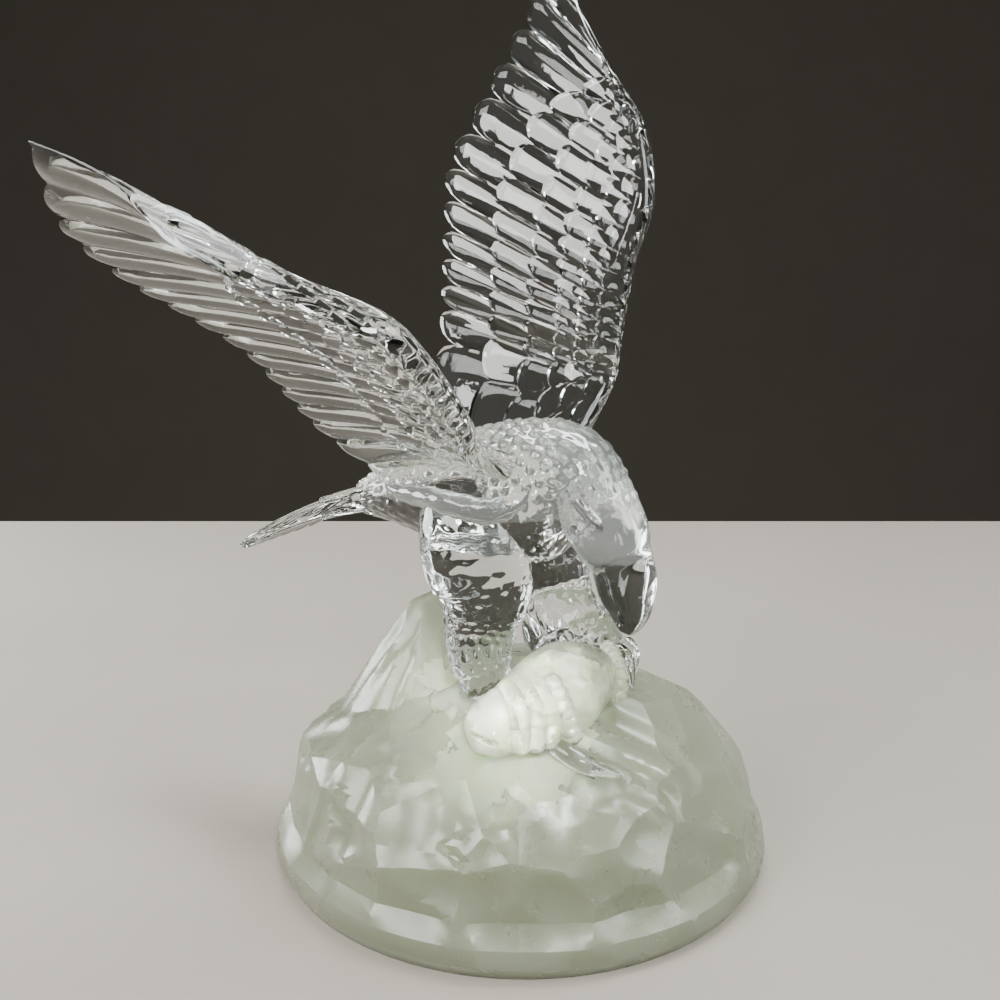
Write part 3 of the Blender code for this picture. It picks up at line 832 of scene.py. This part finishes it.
class GLASSEAGLE_OT_body(bpy.types.Operator):
    """Models the back, the feathered legs and the bent head with its brows, eyes and hooked beak"""

    bl_idname = "glass_eagle.body"
    bl_label = "Body, legs and head"

    def execute(self, context):
        rise = context.scene.carving_sizes.scale_rise
        self.torso(rise)
        self.head(rise)
        for side in (-1, 1):
            self.leg(side, rise)
            self.fold(side)
        return {"FINISHED"}

    def torso(self, rise):
        """The back under its drop-shaped feathers, polished below."""
        sections = (
            (-0.60, -0.18, 0.14, 0.12),
            (-0.42, -0.08, 0.30, 0.26),
            (-0.20, -0.02, 0.43, 0.41),
            (0.00, 0.03, 0.49, 0.49),
            (0.12, 0.05, 0.45, 0.47),
            (0.21, 0.03, 0.33, 0.38),
        )
        stations = [(on_body(x, 0, z), w * BODY_WIDTH, h * BODY_DEPTH) for x, z, w, h in sections]

        def relief(f, angle):
            back = 0.3 + 0.7 * ease(-0.6, 0.5, math.sin(angle))
            return 1.1 * rise * back * (drops((1 - f) * 19, angle / math.tau * 24) - 1)

        torso = swept("torso", stations, 132, 112, CARVED, relief, (0.03, 0.12))
        refinish(torso, BODY_CENTRE.z + BELLY_TOP * BODY_DEPTH, CLEAR)

    def head(self, rise):
        """The bent neck and the hooked beak with its gape line, polished below, and the brows and eyes."""
        sections = (
            (0.070, 0.170, 0.35, 0.40),
            (0.170, 0.155, 0.315, 0.34),
            (0.246, -0.01, 0.26, 0.285),
            (0.303, -0.225, 0.222, 0.255),
            (0.341, -0.41, 0.17, 0.222),
            (0.353, -0.575, 0.120, 0.203),
            (0.361, -0.70, 0.085, 0.159),
            (0.358, -0.80, 0.056, 0.100),
            (0.350, -0.86, 0.030, 0.045),
        )
        stations = [(on_body(x, 0, z), w * BODY_WIDTH, h * BODY_DEPTH) for x, z, w, h in sections]

        def relief(f, angle):
            neck = 1 - ease(0.20, 0.36, f)
            surface = 0.7 * neck * rise * (drops(10 - f * 30, angle / math.tau * 22) - 1)
            side = abs(math.cos(angle))
            low = math.sin(angle)
            gape = ease(0.42, 0.50, f) * (1 - ease(0.84, 0.92, f))
            line = math.exp(-((low + 0.42) / 0.16) ** 2) * ease(0.3, 0.8, side)
            cheek = math.exp(-(((f - 0.47) / 0.045) ** 2)) * 0.0006
            return surface - 0.0010 * gape * line - cheek

        head = swept("head", stations, 84, 104, CARVED, relief, (0.05, 0.03))
        refinish(head, BODY_CENTRE.z + BEAK_TOP * BODY_DEPTH, CLEAR)
        for side in (-1, 1):
            line = [(on_body(x, side * y, z), r * BODY_DEPTH, r * BODY_DEPTH) for x, y, z, r in BROW]
            swept(sided("brow", side), line, 20, 28, CLEAR, None, (0.15, 0.15))
            x, y, z = EYE
            eye = on_body(x, side * y, z)
            bead = [(eye + LEFTWARDS * side * d, EYE_RADIUS, EYE_RADIUS) for d in (-0.0022, 0.0, 0.0018)]
            swept(sided("eye", side), bead, 16, 12, CLEAR, None, (0.5, 0.5), Vector((1, 0, 0)))

    def fold(self, side):
        """The fold of overlapping feathers over a thigh."""
        stations = [(on_body(x, side * y, z), r * FOLD_WIDTH / 2, r * FOLD_DEPTH / 2) for x, y, z, r in FOLD]

        def relief(f, angle):
            return 0.0006 * (lapped(f * 9, 0.5 + angle / math.tau * 4) - 1)

        swept(sided("fold", side), stations, 24, 48, CARVED, relief, (0.15, 0.15))

    def leg(self, side, rise):
        """A feathered leg from its hip down to the rock."""
        if side > 0:
            sections = (
                (-0.05, 0.22, -0.35, 0.30, 0.36),
                (-0.01, 0.28, 0.05, 0.38, 0.42),
                (0.05, 0.29, 0.50, 0.27, 0.32),
                (0.11, 0.18, 0.70, 0.47, 0.33),
                (0.20, 0.20, 0.90, 0.48, 0.26),
                (0.25, 0.23, 1.04, 0.38, 0.19),
            )
        else:
            sections = (
                (-0.11, -0.22, -0.40, 0.32, 0.42),
                (-0.065, -0.35, 0.02, 0.42, 0.45),
                (-0.03, -0.34, 0.32, 0.41, 0.40),
                (-0.03, -0.38, 0.56, 0.33, 0.30),
                (-0.01, -0.45, 0.76, 0.27, 0.26),
                (0.04, -0.49, 1.00, 0.17, 0.16),
            )
        hip = BODY_CENTRE.z - 0.25 * BODY_DEPTH
        stations = []
        for x, y, down, width, depth in sections:
            centre = on_body(x, y, 0)
            centre.z = hip + (ROCK_HEIGHT - 0.06 * LEG_LENGTH - hip) * down
            stations.append((centre, width * LEG_WIDTH, depth * LEG_WIDTH))

        def relief(f, angle):
            low = ease(0.15, 0.5, f)
            return rise * (0.18 + 0.42 * low) * (drops(f * 16, angle / math.tau * 16) - 1)

        swept(sided("leg", side), stations, 78, 84, CLEAR, relief)


# Wings and tail: a fan of feathers in overlapping rows


def blade(name, roots, tips, rows, columns, thickness, edge, dorsal, calm, outward):
    """A closed fan of feathers between a root line and a tip line, carved on both faces.

    The mesh lines run along the rounded ends of the rows, so every feather has a clean edge.
    thickness is that at the roots and edge that at the tips. calm gives how deep the carving is at a
    share of the way from the body to the wing's tip, and outward how far back the covert rows reach there.
    """
    carving = bpy.context.scene.carving_sizes
    lines = [(row, j / (count - 1)) for row, (*_, count) in enumerate(rows) for j in range(count)]
    clear_selection()
    bpy.ops.mesh.primitive_grid_add(x_subdivisions=columns, y_subdivisions=len(lines) - 1, size=2)
    obj = bpy.context.object
    obj.name = name
    bpy.ops.object.mode_set(mode="EDIT")
    bpy.ops.mesh.select_all(action="SELECT")
    bpy.ops.mesh.extrude_region_move(TRANSFORM_OT_translate={"value": (0, 0, 1)})
    bpy.ops.object.mode_set(mode="OBJECT")
    columns_table = []
    for i in range(columns + 1):
        s = i / columns
        marks = []
        for end, feathers, shift, tip, _ in rows:
            place = s * feathers + shift
            across = 2 * (place - math.floor(place + 1e-9)) - 1
            if s in (0, 1):
                across = max(-0.5, min(0.5, across))
            reach = outward(s) if end < 1 else 1.0
            marks.append(((end - tip * (1 - bow(across))) * reach, bow(across)))
        columns_table.append((s, spline(roots, s), spline(tips, s), marks))
    places = []
    for v in obj.data.vertices:
        s, root, tip_place, marks = columns_table[round((v.co.x + 1) / 2 * columns)]
        row, x = lines[round((v.co.y + 1) / 2 * (len(lines) - 1))]
        start = rise = 0.0
        if row:
            start = marks[row - 1][0] + ROW_GAP * outward(s)
            rise = carving.row_rise * (x**0.8 - 1) + carving.groove_depth * (marks[row][1] - 1)
            rise *= rows[-1][1] / rows[row][1]
        t = start + (marks[row][0] - start) * x
        core = edge / 2 + (thickness - edge) / 2 * (1 - t) ** 1.4
        front = bow(1 - min(1.0, t / FRONT_ROUND))
        outer = bow(1 - min(1.0, (1 - s) * columns / SIDE_ROUND))
        back = 1.0
        if row == len(rows) - 1:
            back = bow(min(1.0, max(0.0, (x - 1 + TIP_ROUND) / TIP_ROUND)))
        half = core * max(FRONT_SHARE, front) * max(FRONT_SHARE, outer) * max(TIP_SHARE, back)
        half = max(half + rise * calm(s) * min(front, outer), THINNEST)
        middle = root.lerp(tip_place, t) + dorsal * 0.25 * thickness * math.sin(math.pi * t)
        places.append(middle + dorsal * (half if v.co.z > 0.5 else -half))
    return finished(obj, places, CLEAR)


class GLASSEAGLE_OT_wings(bpy.types.Operator):
    """Models both raised wings with their rows of coverts and flight feathers"""

    bl_idname = "glass_eagle.wings"
    bl_label = "Wings"

    def execute(self, context):
        left = (LEFT_SPAN, LEFT_BACK, LEFT_ARM, LEFT_TIPS, LEFT_WING_LENGTH, LEFT_SHOULDER)
        right = (RIGHT_SPAN, RIGHT_BACK, RIGHT_ARM, RIGHT_TIPS, RIGHT_WING_LENGTH, RIGHT_SHOULDER)
        self.wing(1, FAR_WING_ROWS, *left)
        self.wing(-1, NEAR_WING_ROWS, *right)
        return {"FINISHED"}

    def wing(self, side, rows, span, back, arm_line, tip_line, length, shoulder):
        """A wing in the plane of its span and back, from its shoulder, arched a little."""
        dorsal = (span.cross(back) * side).normalized()
        start = on_body(*shoulder)

        def placed(line):
            points = []
            for p, q in line:
                arch = WING_ARCH_SHARE * math.sin(math.pi * min(1.0, p))
                points.append(start + (span * p + back * q * WING_CHORD_SHARE + dorsal * arch) * length)
            return points

        roots = [on_body(0.11, side * 0.20, 0.20), *placed(arm_line[1:])]
        tips = [on_body(-0.44, side * 0.10, -0.04), *placed(tip_line[1:])]

        def calm(s):
            return 0.85 + 0.15 * ease(0.1, 0.4, s)

        def outward(s):
            return 1 - 0.78 * ease(0.70, 0.98, s)

        sizes = (WING_THICKNESS, EDGE_THICKNESS)
        blade(sided("wing", side), roots, tips, rows, WING_COLUMNS, *sizes, dorsal, calm, outward)


class GLASSEAGLE_OT_tail(bpy.types.Operator):
    """Models the closed fan of the tail, dropping a little to its end"""

    bl_idname = "glass_eagle.tail"
    bl_label = "Tail"

    def execute(self, context):
        root = on_body(-0.46, 0, -0.10)
        drop = -0.41 * TAIL_LENGTH
        roots = [root + Vector((0, w * TAIL_WIDTH, 0)) for w in (-0.20, -0.10, 0, 0.10, 0.20)]
        tips = [
            root + Vector((-TAIL_LENGTH * reach, w * TAIL_WIDTH, drop * reach))
            for w, reach in ((-0.5, 0.90), (-0.27, 0.98), (0, 1.0), (0.27, 0.98), (0.5, 0.90))
        ]
        up = Vector((0, 0, 1))
        sizes = (TAIL_THICKNESS, TAIL_EDGE_THICKNESS)
        blade("tail", roots, tips, TAIL_ROWS, TAIL_COLUMNS, *sizes, up, lambda s: 1.0, lambda s: 1.0)
        return {"FINISHED"}


# The fish, lying across the top of the rock, and the feet that grip it


def on_top(x, y, z):
    """A place in shares of the body's length and width, and of the fish's depth above the dome."""
    place = Vector((x * BODY_LENGTH, y * BODY_WIDTH, 0))
    flat = min(1.0, place.length / ROCK_RADIUS)
    dome = (ROCK_HEIGHT - FOOT_BAND) * (1 - flat**ROCK_SQUARENESS) ** (1 / ROCK_SQUARENESS)
    place.z = FOOT_BAND + dome + z * FISH_DEPTH
    return place


class GLASSEAGLE_OT_fish(bpy.types.Operator):
    """Models the fish, the scuted toes over it and the clear claws"""

    bl_idname = "glass_eagle.fish"
    bl_label = "Fish and feet"

    def execute(self, context):
        sections = (
            (0.086, -0.913, 0.11, 0.32),
            (0.121, -0.837, 0.11, 0.60),
            (0.175, -0.685, 0.12, 0.80),
            (0.241, -0.411, 0.18, 1.04),
            (0.268, -0.183, 0.15, 0.80),
            (0.268, 0.046, 0.04, 0.46),
            (0.257, 0.274, -0.06, 0.40),
        )
        stations = []
        for x, y, z, full in sections:
            stations.append((on_top(x, y, z), full * FISH_WIDTH / 2, full * FISH_DEPTH / 2))

        def relief(f, angle):
            height, facing = -math.sin(angle), math.cos(angle)
            near = ease(-0.1, 0.3, facing)
            mouth = near * ease(0.02, 0.05, f) * (1 - ease(0.165, 0.185, f))
            mouth *= math.exp(-(((height - 0.52 + 5.0 * (f - 0.043)) / 0.10) ** 2))
            jaw = near * ease(0.05, 0.08, f) * (1 - ease(0.19, 0.21, f))
            jaw *= math.exp(-(((height + 0.89 - 3.2 * (f - 0.075)) / 0.09) ** 2))
            gill = math.exp(-(((f - 0.28 - 0.03 * height * height) / 0.014) ** 2))
            body = ease(0.42, 0.46, f) * (1 - ease(0.58, 0.62, f)) * ease(-0.1, 0.1, facing)
            line = 0.97 - 3.2 * max(0.0, f - 0.48)
            ridge = body * math.exp(-(((height - line) / 0.07) ** 2))
            hollow = body * math.exp(-(((height - line + 0.26) / 0.15) ** 2))
            scales = ease(0.40, 0.48, f) * 0.0003 * (lapped(f * 26, angle / math.tau * 20) - 1)
            return scales - 0.0015 * mouth - 0.0012 * jaw - 0.0006 * gill + 0.0009 * ridge - 0.0007 * hollow

        swept("fish", stations, 80, 104, SATIN, relief, (0.06, 0.05), Vector((0.9, -0.4, 0)))
        for name, spots in TOES.items():
            depth, lines = (BEAD_DEPTH, 80) if name in BEADED_TOES else (RING_DEPTH, 48)

            def scutes(f, angle):
                return -depth * (1 - abs(math.sin(math.pi * RINGS * f)) ** 0.5)

            self.digit(name, spots, [1] * len(spots), (24, lines, SATIN, scutes, (0.12, 0.12)))
        for name, spots in CLAWS.items():
            self.digit(name, spots, CLAW_TAPER, (20, 28, CLEAR, None, (0.15, 0.10)))
        return {"FINISHED"}

    def digit(self, name, spots, shares, rest):
        """A toe or a claw through its spots, each as thick as a share of a toe."""
        line = [(on_top(*spot), f * TOE_RADIUS, f * TOE_RADIUS) for spot, f in zip(spots, shares)]
        sideways = (line[-1][0] - line[0][0]).cross(Vector((0, 0, 1)))
        swept(name, line, *rest, sideways)


class GLASSEAGLE_OT_casting(bpy.types.Operator):
    """Fuses the forms into one glass casting, clear above and satin-etched below"""

    bl_idname = "glass_eagle.casting"
    bl_label = "Fuse the casting"

    def execute(self, context):
        casting = bpy.data.objects["rock"]
        casting.name = "glass_eagle"
        choose(casting)
        for name in FORMS:
            form = bpy.data.objects[name]
            before = len(casting.data.polygons)
            union = casting.modifiers.new("fuse", "BOOLEAN")
            union.operation = "UNION"
            union.solver = "EXACT"
            union.object = form
            bpy.ops.object.modifier_apply(modifier="fuse")
            if len(casting.data.polygons) <= before:
                raise RuntimeError(f"{name} was lost in the fusing")
            bpy.data.objects.remove(form)
        choose(casting)
        bpy.ops.object.mode_set(mode="EDIT")
        bpy.ops.mesh.select_all(action="SELECT")
        bpy.ops.mesh.fill_holes(sides=HOLE_SIDES)
        bpy.ops.object.mode_set(mode="OBJECT")
        self.seam(casting.data)
        self.crease(casting.data)
        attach(casting, "root")
        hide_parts(CASTING)
        return {"FINISHED"}

    def seam(self, data):
        """Raises the mould's seam on the rock, the fish and the toes, above the foot."""
        matt = (ETCHED, SATIN)
        mesh = bmesh.new()
        mesh.from_mesh(data)
        for shift in (-SEAM_WIDTH, 0, SEAM_WIDTH):
            faces = [f for f in mesh.faces if f.material_index in matt]
            bisected(mesh, faces, SEAM_WIDTH / 4, ASIDE * (SEAM_OFFSET + shift), ASIDE)
        bmesh.ops.triangulate(mesh, faces=[f for f in mesh.faces if f.material_index in matt])
        mesh.normal_update()
        raised = {}
        for v in mesh.verts:
            away = abs(v.co.dot(ASIDE) - SEAM_OFFSET) / SEAM_WIDTH
            etched = all(f.material_index in matt for f in v.link_faces)
            if away < 1 and etched and v.co.z > SEAM_LOWEST:
                raised[v] = v.co + v.normal * SEAM_RISE * (1 - away)
        for v, place in raised.items():
            v.co = place
        mesh.to_mesh(data)
        mesh.free()

    def crease(self, mesh):
        """Shades the carving smooth, and keeps crisp the edges of the rock's chips and where forms meet."""
        for face in mesh.polygons:
            face.use_smooth = True
        for edge, sides, turn in turns(mesh):
            if not all(face.material_index == ETCHED for face in sides):
                edge.use_edge_sharp = turn > CARVING_CREASE


# The stage


def plain(name, colour, rough):
    """A plain matt surface with a faint mottle."""
    finish = Finish(name)
    finish.drive({"Base Color": finish.mottled(9, 3, colour, (0.95, 0.95, 0.95))})
    finish.fix({"Roughness": rough, "Specular IOR Level": 0.15})
    return finish.material


def staged(aside, ahead, up):
    """A place so far aside, ahead along the line of sight, and up from the foot's centre."""
    return ASIDE * aside + HEADING * ahead + Vector((0, 0, up))


def sheet(name, place, tilt, size, paint):
    """A painted flat sheet in line with the camera, tilted up from the level by an angle."""
    clear_selection()
    turn = math.atan2(HEADING.y, HEADING.x) - math.pi / 2
    bpy.ops.mesh.primitive_plane_add(size=1, location=place, rotation=(tilt, 0, turn))
    obj = bpy.context.object
    obj.name = name
    obj.scale = (*size, 1)
    bpy.ops.object.transform_apply(location=True, rotation=True, scale=True)
    obj.data.materials.append(paint)
    return obj


def lamp(name, place, target, size, power, colour, spread):
    """A soft rectangular lamp that points at a target and lights so many degrees round it."""
    clear_selection()
    bpy.ops.object.light_add(type="AREA", location=place)
    obj = bpy.context.object
    obj.name = name
    obj.data.shape = "RECTANGLE"
    obj.data.size, obj.data.size_y = size
    obj.data.energy = power
    obj.data.color = colour
    obj.data.spread = math.radians(spread)
    obj.rotation_euler = (target - place).to_track_quat("-Z", "Y").to_euler()


class GLASSEAGLE_OT_stage(bpy.types.Operator):
    """Sets up the pale table, the dark wall behind it, the soft lamps and the camera"""

    bl_idname = "glass_eagle.stage"
    bl_label = "Stage"

    def execute(self, context):
        look = context.scene.stage_look
        deep = look.table_behind + TABLE_BEFORE
        middle = staged(0, look.table_behind - deep / 2, 0)
        paint = plain("table_paint", tuple(look.floor_colour), 0.8)
        table = sheet("table_top", middle, 0, (TABLE_WIDTH, deep), paint)
        paint = plain("backdrop_paint", tuple(look.wall_colour), 0.9)
        wall = sheet("backdrop", staged(0, WALL_BEHIND, WALL_MIDDLE), math.pi / 2, WALL_SIZE, paint)
        for name, (place, *rest) in LAMPS.items():
            lamp(name, staged(*place), *rest)
        world = context.scene.world or bpy.data.worlds.new("studio")
        context.scene.world = world
        world.use_nodes = True
        sky = world.node_tree.nodes["Background"]
        sky.inputs["Color"].default_value = SKY_COLOUR
        sky.inputs["Strength"].default_value = SKY_STRENGTH
        bpy.ops.object.camera_add()
        camera = context.object
        camera.name = "camera"
        camera.data.sensor_width = 36
        camera.data.lens = look.lens * 1000
        camera.data.clip_start = 0.01
        eye = staged(EYE_ASIDE, -EYE_BACK, look.eye_height)
        sight = staged(0, math.cos(PITCH), -math.sin(PITCH))
        camera.matrix_world = Matrix.Translation(eye) @ sight.to_track_quat("-Z", "Y").to_matrix().to_4x4()
        context.scene.camera = camera
        return {"FINISHED"}


class GLASSEAGLE_PT_panel(bpy.types.Panel):
    """The steps of the sculpture, in the order they are made"""

    bl_label = "Glass eagle"
    bl_idname = "GLASSEAGLE_PT_panel"
    bl_space_type = "VIEW_3D"
    bl_region_type = "UI"
    bl_category = "Glass eagle"

    def draw(self, context):
        for group in (context.scene.carving_sizes, context.scene.glass_finish, context.scene.stage_look):
            box = self.layout.box()
            for name in group.__annotations__:
                box.prop(group, name)
        for operator in OPERATORS:
            self.layout.operator(operator.bl_idname)


OPERATORS = (
    GLASSEAGLE_OT_rock,
    GLASSEAGLE_OT_body,
    GLASSEAGLE_OT_wings,
    GLASSEAGLE_OT_tail,
    GLASSEAGLE_OT_fish,
    GLASSEAGLE_OT_casting,
    GLASSEAGLE_OT_stage,
)
GROUPS = {"carving_sizes": CarvingSizes, "glass_finish": GlassFinish, "stage_look": StageLook}


def register():
    for name, group in GROUPS.items():
        bpy.utils.register_class(group)
        setattr(bpy.types.Scene, name, bpy.props.PointerProperty(type=group))
    for operator in OPERATORS:
        bpy.utils.register_class(operator)
    bpy.utils.register_class(GLASSEAGLE_PT_panel)


def unregister():
    bpy.utils.unregister_class(GLASSEAGLE_PT_panel)
    for operator in reversed(OPERATORS):
        bpy.utils.unregister_class(operator)
    for name, group in GROUPS.items():
        delattr(bpy.types.Scene, name)
        bpy.utils.unregister_class(group)


def main():
    """Registers the classes and makes every piece in order."""
    register()
    bpy.ops.glass_eagle.rock()
    bpy.ops.glass_eagle.body()
    bpy.ops.glass_eagle.wings()
    bpy.ops.glass_eagle.tail()
    bpy.ops.glass_eagle.fish()
    bpy.ops.glass_eagle.casting()
    bpy.ops.glass_eagle.stage()


if __name__ == "__main__":
    main()
